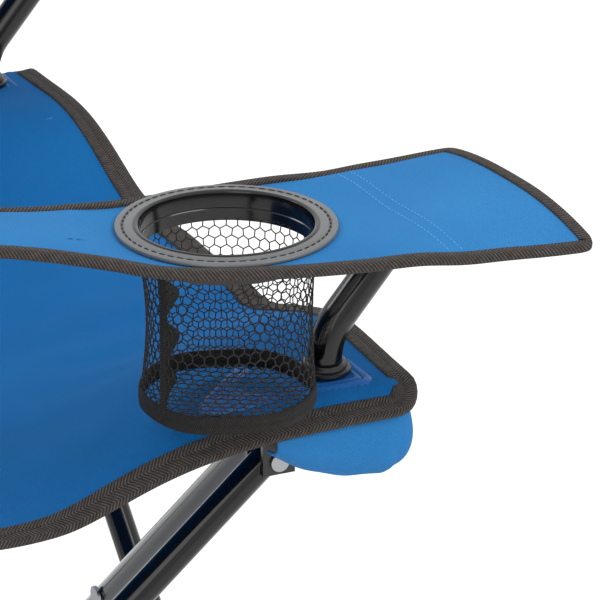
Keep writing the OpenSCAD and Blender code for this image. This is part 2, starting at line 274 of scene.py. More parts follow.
# The ring's flange is black plastic; its colour is raised to grey as painted sheen, standing in for the light
# its matt grain scatters.
ringSheenGrey = plainMaterial(
    "grained black plastic, painted grey sheen", {"colour": "#505254", "rough": 0.32, "grain": 1400.0, "shine": 0.9},
)
# Zinc-plated steel pins.
zinc = plainMaterial("zinc-plated steel", {"colour": "#9a9b9e", "rough": 0.3, "metal": 1.0})
# Black knitted net and its tapes.
netThread = plainMaterial("black knitted net thread", {"colour": "#151313", "rough": 0.7})
netTape = tapeMaterial(
    "black net tape", {"dark": "#0b0a0a", "light": "#2c2927", "rib": 0.0011, "panel": 0.02, "slant": 0.4},
)
# Moulded blue plastic of the corner plates.
bluePlate = plainMaterial("gloss blue plastic", {"colour": "#1a5c9e", "rough": 0.42, "shine": 0.3})
print("stage: materials")


# Mesh helpers.
def makeObject(name, points, faces, uvs, material, body, smooth=True):
    mesh = bpy.data.meshes.new(name)
    mesh.from_pydata(points.reshape(-1, 3).tolist(), [], faces.tolist())
    mesh.polygons.foreach_set("use_smooth", np.full(len(mesh.polygons), smooth))
    if uvs is not None:
        layerUv = mesh.uv_layers.new(name="flat")
        corners = np.empty(len(mesh.loops), np.int32)
        mesh.loops.foreach_get("vertex_index", corners)
        layerUv.data.foreach_set("uv", uvs.reshape(-1, 2)[corners].astype(np.float32).ravel())
    mesh.materials.append(material)
    mesh.update()
    made = bpy.data.objects.new(name, mesh)
    bpy.context.scene.collection.objects.link(made)
    if body:
        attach(made, body)
    return made


def gridFaces(rows, columns, closeRows=False, closeColumns=False, start=0, flip=False):
    r = np.arange(rows if closeRows else rows - 1)
    c = np.arange(columns if closeColumns else columns - 1)
    r, c = np.meshgrid(r, c, indexing="ij")
    r2, c2 = (r + 1) % rows, (c + 1) % columns
    quads = np.stack([r * columns + c, r2 * columns + c, r2 * columns + c2, r * columns + c2], -1).reshape(
        -1, 4,
    )
    return start + (quads[:, ::-1] if flip else quads)


def unit(v):
    return v / np.maximum(np.linalg.norm(v, axis=-1, keepdims=True), 1e-12)


def normalsOf(p):
    return unit(np.cross(np.gradient(p, axis=0), np.gradient(p, axis=1)))


# Cloth with thickness: the surface moved half its thickness each way along its normals, joined round its rim.
def cloth(name, p, thick, uv, material, body, closeColumns=False):
    n = normalsOf(p)
    if closeColumns:
        wrapped = np.concatenate([p[:, -1:], p, p[:, :1]], axis=1)
        n = unit(np.cross(np.gradient(wrapped, axis=0), np.gradient(wrapped, axis=1)))[:, 1:-1]
    rows, columns = p.shape[:2]
    points = np.concatenate([(p + n * thick / 2).reshape(-1, 3), (p - n * thick / 2).reshape(-1, 3)])
    count = rows * columns
    faces = [
        gridFaces(rows, columns, False, closeColumns),
        gridFaces(rows, columns, False, closeColumns, count, True),
    ]
    index = np.arange(count).reshape(rows, columns)
    if closeColumns:
        loops = [index[0], index[-1][::-1]]
    else:
        loops = [np.concatenate([index[0, :-1], index[:-1, -1], index[-1, :0:-1], index[:0:-1, 0]])]
    for rim in loops:
        nextOne = np.roll(rim, -1)
        faces.append(np.stack([rim, nextOne, nextOne + count, rim + count], -1))
    return makeObject(
        name, points, np.concatenate(faces), np.concatenate([uv.reshape(-1, 2)] * 2), material, body,
    )


# A profile carried along a path. Each profile point is (out, up): out along the given outward
# vectors, up square to both.
def sweep(name, path, outward, profile, material, body, closed=False, uvScale=1.0):
    tangent = unit(np.roll(path, -1, 0) - np.roll(path, 1, 0)) if closed else unit(np.gradient(path, axis=0))
    side = unit(outward - (outward * tangent).sum(-1, keepdims=True) * tangent)
    up = np.cross(side, tangent)
    points = path[:, None] + profile[None, :, :1] * side[:, None] + profile[None, :, 1:] * up[:, None]
    rows, columns = points.shape[:2]
    along = np.concatenate([[0], np.cumsum(np.linalg.norm(np.diff(path, axis=0), axis=1))])
    around = np.concatenate([[0], np.cumsum(np.linalg.norm(np.diff(profile, axis=0), axis=1))])
    uv = np.stack(np.meshgrid(along, around, indexing="ij"), -1) * uvScale
    faces = gridFaces(rows, columns, closed, True).tolist()
    if not closed:
        faces.append(list(range(columns)))
        faces.append(list(range((rows - 1) * columns, rows * columns))[::-1])
    made = makeObject(name, points, np.array(faces, dtype=object), uv, material, body)
    return made


def ringProfile(radius, sides):
    a = np.linspace(0, 2 * np.pi, sides, endpoint=False)
    return np.stack([radius * np.cos(a), radius * np.sin(a)], -1)


# Hollow tube: outer wall, inner wall and two ring ends.
def tubeAlong(name, path, outward, radius, bore, material, body, sides=48):
    tangent = unit(np.gradient(path, axis=0))
    side = unit(outward - (outward * tangent).sum(-1, keepdims=True) * tangent)
    up = np.cross(side, tangent)
    walls = []
    for r in (radius, bore):
        profile = ringProfile(r, sides)
        walls.append(
            path[:, None] + profile[None, :, :1] * side[:, None] + profile[None, :, 1:] * up[:, None]
        )
    rows = len(path)
    count = rows * sides
    faces = [gridFaces(rows, sides, False, True), gridFaces(rows, sides, False, True, count, True)]
    ring = np.arange(sides)
    nextOne = np.roll(ring, -1)
    faces.append(np.stack([nextOne, ring, ring + count, nextOne + count], -1)[:, ::-1])
    last = (rows - 1) * sides
    farEnd = np.stack([ring + last, nextOne + last, nextOne + last + count, ring + last + count], -1)
    faces.append(farEnd[:, ::-1])
    return makeObject(
        name, np.concatenate([w.reshape(-1, 3) for w in walls]), np.concatenate(faces), None, material, body,
    )


# A turned shape: profile of (radius, height) points about a vertical axis, closed on itself.
def turned(name, centre, profile, material, body, sides=96):
    a = np.linspace(0, 2 * np.pi, sides, endpoint=False)
    points = np.stack([
        centre[0] + profile[None, :, 0] * np.cos(a)[:, None],
        centre[1] + profile[None, :, 0] * np.sin(a)[:, None],
        centre[2] + np.broadcast_to(profile[None, :, 1], (sides, len(profile))),
    ], -1)
    return makeObject(name, points, gridFaces(sides, len(profile), True, True), None, material, body)


# Shares are rounded to this many steps, so that each step's vertices are given in one call.
shareSteps = 500


# The mesh also follows other bodies: each vertex moves by its weighted share of every body's travel.
def follow(made, shares):
    for body, share in shares.items():
        share = np.clip(share.ravel(), 0, 1)
        if share.max() < 0.01:
            continue
        group = made.vertex_groups.new(name=body)
        steps = np.round(share * shareSteps).astype(int)
        for step in np.unique(steps[steps > 0]):
            group.add(np.nonzero(steps == step)[0].tolist(), float(step) / shareSteps, "REPLACE")
        hook = made.modifiers.new("with " + body, "HOOK")
        hook.object = bodies[body]
        hook.vertex_group = body
        hook.falloff_type = "NONE"
        hook.strength = 1.0


def vertsOf(made):
    co = np.empty(len(made.data.vertices) * 3, np.float32)
    made.data.vertices.foreach_get("co", co)
    return co.reshape(-1, 3).astype(float)


def smoothStep(x, a, b):
    t = np.clip((x - a) / (b - a), 0, 1)
    return t * t * (3 - 2 * t)


def recalc(made):
    # Turns every face outwards.
    import bmesh
    work = bmesh.new()
    work.from_mesh(made.data)
    bmesh.ops.recalc_face_normals(work, faces=work.faces)
    work.to_mesh(made.data)
    work.free()
    return made


def sharpen(made, degrees=35):
    made.data.set_sharp_from_angle(angle=math.radians(degrees))
    return made


# Legs: eight tubes in four crossing pairs.
corners = ["fr", "fl", "rl", "rr"]
sides = ["front", "left", "rear", "right"]


def quarter(p, i):
    a = math.radians(90 * i)
    c, s = round(math.cos(a)), round(math.sin(a))
    x, y, z = p[..., 0], p[..., 1], p[..., 2]
    return np.stack([c * x - s * y, s * x + c * y + centreY, z], -1)


legSet = {"radius": 0.008, "wall": 0.0012, "over": 0.011}
reach = half - pivotIn
for i, sideName in enumerate(sides):
    for kind, direction, depth in (("outer", 1, -layer), ("inner", -1, layer)):
        a = np.array([-reach * direction, -half + depth, footZ])
        b = np.array([reach * direction, -half + depth, hubZ])
        along = unit(b - a)
        ends = np.linspace(a - along * legSet["over"], b + along * legSet["over"], 12)
        name = f"leg_{sideName}_{kind}"
        path = quarter(ends, i)
        normal = quarter(np.array([[0.0, -1.0, 0.0]]), i) - np.array([[0, centreY, 0]])
        made = tubeAlong(
            "tube_" + name, path, np.repeat(normal, 12, 0), legSet["radius"],
            legSet["radius"] - legSet["wall"], blackTube, name,
        )
        sharpen(recalc(made))
        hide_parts(name)
print("stage: legs")


# Arm posts: tube with two opposite bends, leaning forward.
postSet = {"radius": 0.009, "wall": 0.0012, "bend": 0.036, "lean": 40, "middle": 0.036}


def postPath():
    bend, lean = postSet["bend"], math.radians(postSet["lean"])
    lo, hi = boxOf("arm_post_right")
    rise = 2 * bend * math.sin(lean) + postSet["middle"] * math.cos(lean)
    low = (hi[2] - lo[2]) - rise - 0.008
    t = np.linspace(0, lean, 14)
    first = np.stack([-bend * (1 - np.cos(t)), low + bend * np.sin(t)], -1)
    second = first[-1] + np.array([-math.sin(lean), math.cos(lean)]) * postSet["middle"]
    third = second + np.stack([
        -bend * (np.cos(lean - t) - math.cos(lean)),
        bend * (math.sin(lean) - np.sin(lean - t)),
    ], -1)
    flat = np.concatenate([[[0, 0], [0, low * 0.5]], first, third, [third[-1] + [0, 0.008]]])
    return np.stack([np.full(len(flat), -out), -out + centreY + flat[:, 0], lo[2] + flat[:, 1]], -1)


def mirrored(p):
    return p * np.array([-1, 1, 1])


post = postPath()
for sideName, flip, body in (("right", False, "hub_fr"), ("left", True, "hub_fl")):
    path = mirrored(post) if flip else post
    made = tubeAlong(
        "post_" + sideName, path, np.tile([1.0, 0, 0], (len(path), 1)), postSet["radius"],
        postSet["radius"] - postSet["wall"], blackTube, body, 64,
    )
    sharpen(recalc(made))
    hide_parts("arm_post_" + sideName)
    lo, hi = boxOf("post_collar_" + sideName)
    centre = np.array([(lo[0] + hi[0]) / 2, (lo[1] + hi[1]) / 2, lo[2]])
    # Low collar: two steps, each with a rolled edge.
    steps = np.array([
        [9.15, 0], [13.2, 0], [13.5, 0.4], [13.5, 2.2], [12.9, 2.9], [11.6, 3.1], [11.5, 4.9],
        [11.0, 5.7], [10.0, 6.0],
        [9.15, 6.0],
    ]) / 1000
    made = turned("collar_" + sideName, centre, steps, blackPlastic, body, 64)
    sharpen(recalc(made))
    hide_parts("post_collar_" + sideName)
print("stage: posts")


# Corner plates: rounded triangle with two raised ridges.
plateSet = {
    "rings": 60, "turns": 180, "ridges": ((0.0035, 0.0011), (0.0080, 0.0010)), "ridgeWidth": 0.0012,
    "edge": 0.0024,
}


def roundedTriangle(points, radius, count):
    # Points on the outline of a convex shape grown by radius, by its corners' arcs.
    found = []
    n = len(points)
    for k in range(n):
        before, here, after = points[k - 1], points[k], points[(k + 1) % n]
        inAngle = math.atan2(here[1] - before[1], here[0] - before[0]) - math.pi / 2
        outAngle = math.atan2(after[1] - here[1], after[0] - here[0]) - math.pi / 2
        while outAngle < inAngle:
            outAngle += 2 * math.pi
        t = np.linspace(inAngle, outAngle, 24)
        found.append(here + radius * np.stack([np.cos(t), np.sin(t)], -1))
    line = np.concatenate(found + [found[0][:1]])
    travelled = np.concatenate([[0], np.cumsum(np.linalg.norm(np.diff(line, axis=0), axis=1))])
    at = np.linspace(0, travelled[-1], count, endpoint=False)
    return np.stack([np.interp(at, travelled, line[:, 0]), np.interp(at, travelled, line[:, 1])], -1)


plateCorners = np.array([[-25.0, -25.0], [56.0, -25.0], [-25.0, 56.0]]) / 1000
outline = roundedTriangle(plateCorners, 0.008, plateSet["turns"])
middle = np.array([0.002, 0.002])
share = np.linspace(1, 0.02, plateSet["rings"]) ** 0.9
surface = middle + (outline - middle)[None] * share[:, None, None]
gaps = np.linalg.norm(surface[:, :, None] - outline[None, None, ::2], axis=-1).min(-1)
height = plateSet["edge"] * (1 - np.clip(1 - gaps / 0.0016, 0, 1) ** 2)
for place, tall in plateSet["ridges"]:
    height = height + tall * np.exp(-(((gaps - place) / plateSet["ridgeWidth"]) ** 2))
for sideName, flip, body in (("right", False, "hub_fr"), ("left", True, "hub_fl")):
    lo, hi = boxOf("corner_plate_" + sideName)
    top = np.concatenate([surface, height[..., None]], -1) + np.array([-half, -half + centreY, lo[2]])
    rim = top[:1].copy()
    rim[..., 2] = lo[2]
    p = np.concatenate([rim, top])
    p = mirrored(p) if flip else p
    made = makeObject(
        "plate_" + sideName, p, gridFaces(len(p), plateSet["turns"], False, True, 0, flip), None, bluePlate,
        body,
    )
    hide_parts("corner_plate_" + sideName)
print("stage: plates")


# Seat.
seatSet = {
    "edge": 0.286, "round": 0.020, "sagMiddle": 0.062, "sagEdge": 0.020, "sagSide": 0.054, "inward": 0.002,
    "inwardSide": 0.022, "cells": 150, "thick": 0.0016, "heldFrom": 0.203, "hang": 0.92, "pleat": 0.035,
}
seatTop = seatLo[2] + 0.0012


def seatOutline(angle):
    # Distance from the middle to the rounded square's edge at this angle, with its sides drawn inwards.
    e, r = seatSet["edge"], seatSet["round"]
    c, s = np.abs(np.cos(angle)), np.abs(np.sin(angle))
    big, small = np.maximum(c, s), np.minimum(c, s)
    straight = e / big
    k = e - r
    b = k * (big + small)
    arc = b + np.sqrt(np.maximum(b * b - (2 * k * k - r * r), 0))
    inArc = small / big * e > k
    plain = np.where(inArc, arc, straight)
    along = np.clip(plain * small / e, 0, 1)
    front = np.abs(np.sin(angle)) > np.abs(np.cos(angle))
    pull = np.where(front, seatSet["inward"], seatSet["inwardSide"])
    return plain - pull * (1 - smoothStep(along, 0.0, 0.82)) / big


def seatHeight(x, y):
    # Sags most in the middle and least at the corners, and lies flat over the four hubs.
    e = seatSet["edge"]
    u, v = np.clip(x / e, -1, 1), np.clip(y / e, -1, 1)
    middleSag = seatSet["sagMiddle"] * (1 - u**2) * (1 - v**2)
    frontSag = seatSet["sagEdge"] * (1 - u**2) * v**4
    sideSag = seatSet["sagSide"] * (1 - v**2) ** 2.2 * u**4
    droop = 0.010 * smoothStep(np.abs(x), 0.264, 0.287)
    swell = 0.005 * np.exp(-(((np.abs(x) - 0.17) / 0.05) ** 2)) * smoothStep(np.abs(y), 0.20, 0.27)
    near = np.minimum.reduce([np.hypot(x - sx * 0.232, y - sy * 0.232) for sx in (-1, 1) for sy in (-1, 1)])
    free = smoothStep(near, 0.030, 0.150)
    lift = 0.004 * (1 - free)
    angle = np.arctan2(y, x)
    away = np.hypot(x, y)
    creases = 0.0011 * np.sin(angle * 22 + 3 * np.sin(angle * 3)) * smoothStep(away, 0.12, 0.24) * free
    slanted = np.sin((x * 0.8 + y * 0.6) * 52 + 2.2 * np.sin(y * 9))
    creases += 0.0016 * slanted * smoothStep(away, 0.05, 0.2) * free
    return seatTop + lift + swell - droop - (middleSag + frontSag + sideSag) * free + creases


def seatPoint(angle, share):
    r = seatOutline(angle) * share
    x, y = r * np.cos(angle), r * np.sin(angle)
    return np.stack([x, y + centreY, seatHeight(x, y)], -1)


# The seat's grid: rows from edge to edge, mapped to the rounded square by its distance from the middle.
cells = seatSet["cells"]
u, v = np.meshgrid(np.linspace(-1, 1, cells + 1), np.linspace(-1, 1, cells + 1), indexing="ij")
angle = np.arctan2(v, u)
share = np.maximum(np.abs(u), np.abs(v))
seatGrid = seatPoint(angle, share)
# The seat takes the cloth copy that is darkened as painted shade.
seat = cloth("seat_cloth", seatGrid, seatSet["thick"], seatGrid[..., :2], shadedSeatCloth, "hub_fr")
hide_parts("seat_panel")


def seatShares(p):
    # Each body's share of the seat: one hub draws it in sideways, one lengthways, and one foot lets
    # its middle hang inside the legs.
    x, y = p[:, 0], p[:, 1] - centreY
    a = np.clip((x / seatSet["heldFrom"] + 1) / 2, 0, 1)
    b = np.clip((y / seatSet["heldFrom"] + 1) / 2, 0, 1)
    m = np.maximum(np.abs(2 * a - 1), np.abs(2 * b - 1))
    angle = np.arctan2(2 * b - 1, 2 * a - 1)
    hang = (
        seatSet["hang"] * (1 - smoothStep(m, 0.10, 0.90))
        + seatSet["pleat"] * np.sin(10 * angle) * smoothStep(m, 0.10, 0.35) * (1 - smoothStep(m, 0.50, 0.90))
    )
    return {"hub_fl": a, "hub_rr": b, "foot_fr": hang}


def followSeat(made):
    follow(made, seatShares(vertsOf(made)))


# Binding folded over an edge: wide on top, narrower below.
def bindingProfile(widthTop, widthUnder, thick):
    t = thick
    return np.array([
        [-widthTop, 0.0006], [-widthTop * 0.97, t * 0.9], [-widthTop * 0.9, t], [-widthTop * 0.55, t * 1.06],
        [-widthTop * 0.5, t * 0.86],
        [-widthTop * 0.45, t * 1.06], [-widthTop * 0.1, t * 1.05], [0.0004, t * 0.75],
        [0.0012, t * 0.2], [0.0012, -t * 0.3],
        [0.0002, -t * 0.85],
        [-widthTop * 0.1, -t * 1.05], [-widthUnder * 0.9, -t], [-widthUnder, -0.0006],
    ])


edgeAngles = np.linspace(0, 2 * np.pi, 721)[:-1]
seatEdge = seatPoint(edgeAngles, np.ones(720) * 0.999)
inner = seatPoint(edgeAngles, np.ones(720) * 0.97)
seatBinding = sweep(
    "seat_binding", seatEdge, seatEdge - inner, bindingProfile(0.0125, 0.012, 0.0021), tape, "hub_fr", True,
)
recalc(seatBinding)
followSeat(seat)
followSeat(seatBinding)
print("stage: seat")


# Small dashes of thread along a line: each is a capsule, one stitch long, standing a little proud.
def stitches(name, path, up, settings, material, body):
    travelled = np.concatenate([[0], np.cumsum(np.linalg.norm(np.diff(path, axis=0), axis=1))])
    starts = np.arange(
        settings["gap"] / 2, travelled[-1] - settings["long"], settings["long"] + settings["gap"],
    )
    at = starts[:, None] + np.array([0.0, 0.12, 0.5, 0.88, 1.0]) * settings["long"]
    centre = np.stack([np.interp(at, travelled, path[:, k]) for k in range(3)], -1)
    lift = unit(np.stack([np.interp(at, travelled, up[:, k]) for k in range(3)], -1))
    along = unit(np.gradient(centre, axis=1))
    side = unit(np.cross(along, lift))
    a = np.linspace(0, 2 * np.pi, 6, endpoint=False)
    fat = settings["thread"] * np.array([0.25, 0.85, 1.0, 0.85, 0.25])[None, :, None, None]
    ring = (
        np.cos(a)[None, None, :, None] * side[:, :, None] + np.sin(a)[None, None, :, None] * lift[:, :, None]
    )
    points = centre[:, :, None] + ring * fat
    ends = [[0, 1, 2, 3], [0, 3, 4, 5], [27, 26, 25, 24], [29, 28, 27, 24]]
    base = np.concatenate([gridFaces(5, 6, False, True), ends])
    faces = (base[None] + (np.arange(len(starts)) * 30)[:, None, None]).reshape(-1, 4)
    return recalc(makeObject(name, points, faces, None, material, body))


# Straight threads from a list of ends: each a five-sided rod, closed at both ends.
def rods(name, starts, ends, radius, material, body):
    along = unit(ends - starts)
    helper = np.where(np.abs(along[:, 2:3]) > 0.9, [[1.0, 0, 0]], [[0, 0, 1.0]])
    side = unit(np.cross(along, helper))
    up = np.cross(side, along)
    a = np.linspace(0, 2 * np.pi, 5, endpoint=False)
    ring = radius * (np.cos(a)[None, :, None] * side[:, None] + np.sin(a)[None, :, None] * up[:, None])
    points = np.stack(
        [
            starts[:, None] - along[:, None] * radius * 0.6 + ring,
            ends[:, None] + along[:, None] * radius * 0.6 + ring,
        ],
        1,
    )
    firsts = (np.arange(len(starts)) * 10)[:, None, None]
    walls = (gridFaces(2, 5, False, True)[None] + firsts).reshape(-1, 4)
    caps = (np.array([[0, 1, 2, 3, 4], [9, 8, 7, 6, 5]])[None] + firsts).reshape(-1, 5)
    faces = walls.tolist() + caps.tolist()
    return recalc(makeObject(name, points, np.array(faces, dtype=object), None, material, body))


# Arms: cloth with a wavy outer edge, padded at the front, climbing to the back pole.
armSet = {
    "tip": 0.344, "tail": 0.2325, "slant": 0.015, "round": 0.011, "bulge": 0.006, "level": 0.5446,
    "thick": 0.0026, "binding": 0.0058, "hangs": 0.222, "drop": 0.74,
}
outerEdge = np.array([
    [-350, -360], [-346, -265], [-336, -190], [-317, -136],
    [-296, -100], [-284, -72], [-278, 0], [-276, 250],
]) / 1000
innerEdge = np.array([
    [-217, -360], [-220, -300], [-226, -260], [-213, -214],
    [-213, -160], [-220, -108], [-222, -60], [-222, 250],
]) / 1000


def smoothed(table, y):
    # The edge's x at y: straight lines between the given places, averaged over 36 mm.
    spread = np.linspace(-0.018, 0.018, 13)
    return np.interp(y[..., None] + spread, table[:, 1], table[:, 0]).mean(-1)


def armHeight(x, y):
    # Level at the front and climbing to the rear, crowned across, drawn down at its edges, and flat
    # under the ring.
    ahead = y + 0.120
    climb = 0.2 * (np.sqrt(ahead**2 + 0.05**2) + ahead) / 2
    near, far = smoothed(outerEdge, y), smoothed(innerEdge, y)
    t = np.clip((x - near) / (far - near), 0, 1)
    front = 1 - smoothStep(y, -0.345, -0.230)
    crown = (0.0025 + 0.0065 * front) * (1 - (2 * t - 1) ** 2)
    drop = (
        -0.0015 - 0.0050 * front * (1 - t)
        + 0.0035 * smoothStep(t, 0.5, 1.0) * (1 - smoothStep(y, -0.20, -0.08))
    )
    level = armSet["level"] + climb + crown + drop + 0.0012 * smoothStep(y, -0.13, -0.06)
    away = smoothStep(np.hypot(x + 0.268, y + 0.182), 0.055, 0.082)
    folds = 0.0007 * np.sin(y * 95 + 9 * t) * np.exp(-(((y + 0.262) / 0.03) ** 2))
    folds = folds + 0.0012 * np.sin(2.2 * np.pi * t + y * 20) * smoothStep(y, -0.10, 0.02)
    return (level + folds) * away + 0.5449 * (1 - away)


def armOutline(count):
    # Closed line round the arm: outer edge forwards, front, inner edge back, tail. Evenly spaced,
    # with its corners rounded.
    y = np.linspace(armSet["tail"], -armSet["tip"], 400)
    innerY = np.linspace(armSet["tail"], -armSet["tip"] + armSet["slant"], 400)
    t = np.linspace(0, 1, 60)[1:-1]
    frontX = smoothed(outerEdge, y[-1:])[0] * (1 - t) + smoothed(innerEdge, innerY[-1:])[0] * t
    frontY = -armSet["tip"] + armSet["slant"] * t - armSet["bulge"] * (1 - (2 * t - 1) ** 2) * 0.3
    line = np.concatenate([
        np.stack([smoothed(outerEdge, y), y], -1),
        np.stack([frontX, frontY], -1),
        np.stack([smoothed(innerEdge, innerY), innerY], -1)[::-1],
        np.stack(
            [
                smoothed(innerEdge, y[:1])[0] * (1 - t) + smoothed(outerEdge, y[:1])[0] * t,
                np.full(len(t), y[0]),
            ],
            -1,
        ),
    ])
    line = np.concatenate([line, line[:1]])
    travelled = np.concatenate([[0], np.cumsum(np.linalg.norm(np.diff(line, axis=0), axis=1))])
    fine = np.linspace(0, travelled[-1], 3000, endpoint=False)
    even = np.stack([np.interp(fine, travelled, line[:, k]) for k in (0, 1)], -1)
    width = int(armSet["round"] / travelled[-1] * 3000)
    kernel = np.hanning(2 * width + 1)
    kernel = kernel / kernel.sum()
    wrapped = np.concatenate([even[-width:], even, even[:width]])
    rounded = np.stack([np.convolve(wrapped[:, k], kernel, "valid") for k in (0, 1)], -1)
    return rounded[:: 3000 // count]


def lifted(flat):
    return np.stack([flat[..., 0], flat[..., 1] + centreY, armHeight(flat[..., 0], flat[..., 1])], -1)


rim = armOutline(750)
ringCentre = np.array([-0.268, -0.182])
ray = unit(rim - ringCentre)
share = np.linspace(0, 1, 84)[:, None, None] ** 1.25
ringed = lifted((ringCentre + ray * 0.0462)[None] * (1 - share) + rim[None] * share)
# The arm without a ring is one grid from edge to edge, its first and last rows rounded with the outline.
rows = np.linspace(0, 1, 170)[:, None]
columns = np.linspace(0, 1, 56)[None, :]
tips = np.abs(2 * columns - 1)
frontLine = (
    -armSet["tip"] + armSet["slant"] * columns - 0.0018 * (1 - tips**2)
    + 0.006 * smoothStep(tips, 0.85, 1.0) ** 2
)
tailLine = armSet["tail"] - 0.004 * smoothStep(tips, 0.8, 1.0) ** 2
plainY = frontLine * (1 - rows) + tailLine * rows
pinch = 0.0045 * (1 - smoothStep(rows, 0.0, 0.02))
near, far = smoothed(outerEdge, plainY) + pinch, smoothed(innerEdge, plainY) - pinch
plainArm = lifted(np.stack([near * (1 - columns) + far * columns, plainY], -1))


def armShares(made, corner):
    # The front follows its post's hub. Behind the ring each place is drawn back by as much as keeps
    # it in front of the back cloth.
    y = vertsOf(made)[:, 1] - centreY
    share = np.clip(1 - (armSet["hangs"] - y) / foldTravel, 0, 1)
    follow(made, {"foot_" + corner: armSet["drop"] * share, "hub_" + corner: (1 - armSet["drop"]) * share})


edgeRound = np.array([
    [-1.0, 0.05], [-1.0, 0.30], [-0.94, 0.40], [-0.5, 0.44], [-0.1, 0.45], [0.12, 0.34], [0.20, 0.12],
    [0.20, -0.12],
    [0.12, -0.34], [-0.1, -0.45], [-0.5, -0.44], [-0.94, -0.40], [-1.0, -0.30], [-1.0, -0.05],
])
armParts = {}
for sideName, surface, flip, body, corner in (
    ("right", ringed, False, "hub_fr", "rr"), ("left", mirrored(plainArm), True, "hub_fl", "rl"),
):
    hole = sideName == "right"
    flat = surface[..., :2]
    made = recalc(cloth("arm_cloth_" + sideName, surface, armSet["thick"], flat, armCloth, body, hole))
    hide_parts("armrest_" + sideName)
    around = [plainArm[0], plainArm[1:, -1], plainArm[-1, -2::-1], plainArm[-2:0:-1, 0]]
    edge = lifted(rim) if hole else np.concatenate(around)
    edge = edge if hole else mirrored(edge)
    middleOf = edge.mean(0)
    tangent = unit(np.roll(edge, -1, 0) - np.roll(edge, 1, 0))
    outward = np.stack([tangent[:, 1], -tangent[:, 0], np.zeros(len(edge))], -1)
    turns = np.sign(((edge - middleOf) * outward).sum())
    outward = outward * turns
    profile = edgeRound * np.array([armSet["binding"], 0.0062])
    binding = recalc(sweep("arm_binding_" + sideName, edge, outward, profile, tape, body, True))
    seamLine = edge - outward * armSet["binding"] * 0.82 + np.array([0, 0, 0.0021])
    seam = stitches(
        "arm_seam_" + sideName, seamLine, np.tile([0, 0, 1.0], (len(edge), 1)),
        {"long": 0.0019, "gap": 0.0011, "thread": 0.00022}, blackThread, body,
    )
    pocket = []
    for back in (0.259, 0.266):
        t = np.linspace(0.06, 0.94, 60)
        y = -back - 0.011 * (1 - t)
        x = smoothed(outerEdge, y) * (1 - t) + smoothed(innerEdge, y) * t
        line = lifted(np.stack([x, y], -1)) + np.array([0, 0, armSet["thick"] / 2 + 0.0001])
        line = mirrored(line) if flip else line
        upwards = np.tile([0, 0, 1.0], (60, 1))
        pocketStitch = {"long": 0.0022, "gap": 0.0009, "thread": 0.00024}
        name = f"arm_pocket_{sideName}_{len(pocket)}"
        pocket.append(stitches(name, line, upwards, pocketStitch, thread, body))
    for part in [made, binding, seam] + pocket:
        armShares(part, corner)
    armParts[sideName] = (made, [binding, seam] + pocket)
print("stage: arms")


# Cup ring: grained flange with a sewn line, and a polished sleeve inside it.
cupSet = {"base": 0.5465, "stitch": 0.0514}
ringAt = np.array([ringX, ringY, cupSet["base"]])
flange = np.array([
    [45.2, 0], [55.2, 0], [55.5, 0.35], [55.5, 1.2], [55.1, 1.8], [53.6, 2.2], [52.4, 2.15],
    [51.9, 1.75], [50.9, 1.75], [50.4, 2.15], [47.0, 2.4],
    [45.2, 2.4],
]) / 1000
sleeve = np.array([
    [43.5, -13], [45.1, -13], [45.1, 2.3], [45.6, 2.42], [46.2, 2.45], [46.3, 2.7], [45.7, 3.0],
    [44.6, 2.9], [43.8, 2.3], [43.5, 1.2], [43.5, -6], [43.9, -6.5],
    [43.5, -7.0],
]) / 1000
# The flange's grey colour is painted sheen on black plastic.
ringFlange = recalc(sharpen(turned("ring_flange", ringAt, flange, ringSheenGrey, "hub_fr", 160)))
ringSleeve = recalc(sharpen(turned("ring_sleeve", ringAt, sleeve, ringGloss, "hub_fr", 160)))
a = np.linspace(0, 2 * np.pi, 400)
stitchLine = (
    ringAt + np.stack([cupSet["stitch"] * np.cos(a), cupSet["stitch"] * np.sin(a), np.full(400, 0.00195)], -1)
)
ringSeam = stitches(
    "ring_seam", stitchLine, np.tile([0, 0, 1.0], (400, 1)),
    {"long": 0.0036, "gap": 0.0016, "thread": 0.0004}, blackThread, "hub_fr",
)
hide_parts("cup_ring")

# Net cup: hexagons of thread round the wall and over the floor, taped round its foot and down one seam.
netSet = {
    "cells": 46, "rows": 17, "top": 0.541, "deep": 0.0865, "radiusTop": 0.0446, "radiusFoot": 0.0432,
    "thread": 0.00034, "band": 0.0095,
}


def netWall(angle, down):
    # Place on the cup's wall: the radius narrows with depth and draws in a little between the rim
    # and the foot.
    slack = (
        0.0012 * np.sin(3 * angle + 1.0) * np.sin(np.pi * down)
        - 0.0026 * np.sin(np.pi * np.clip(down * 1.1, 0, 1))
    )
    r = netSet["radiusTop"] * (1 - down) + netSet["radiusFoot"] * down + slack
    z = netSet["top"] - down * netSet["deep"] + 0.0012 * np.sin(2 * angle) * down
    return np.stack([ringX + r * np.cos(angle), ringY + r * np.sin(angle), z], -1)


k = np.arange(2 * netSet["cells"])
j = np.arange(netSet["rows"] + 1)
kk, jj = np.meshgrid(k, j, indexing="ij")
zig = ((kk + jj) % 2) * 0.34
waver = 0.0011 * np.sin(kk * 1.7 + jj * 2.3)
level = np.clip((jj + zig) / (netSet["rows"] + 0.34), 0, 1)
knots = netWall(kk * np.pi / netSet["cells"] + waver * 6, level)
nextKnots = np.roll(knots, -1, axis=0)
uprights = ((kk + jj) % 2 == 1)[:, :-1]
starts = np.concatenate([knots.reshape(-1, 3), knots[:, :-1][uprights]])
ends = np.concatenate([nextKnots.reshape(-1, 3), knots[:, 1:][uprights]])
wallNet = rods("net_wall", starts, ends, netSet["thread"], netThread, "hub_fr")
floorZ = netSet["top"] - netSet["deep"] + 0.001
step = 0.0030
i, j = np.meshgrid(np.arange(-15, 16), np.arange(-9, 10), indexing="ij")
flat = np.stack([i * step, (j + ((i + j) % 2) * 0.34) * 0.0052], -1)
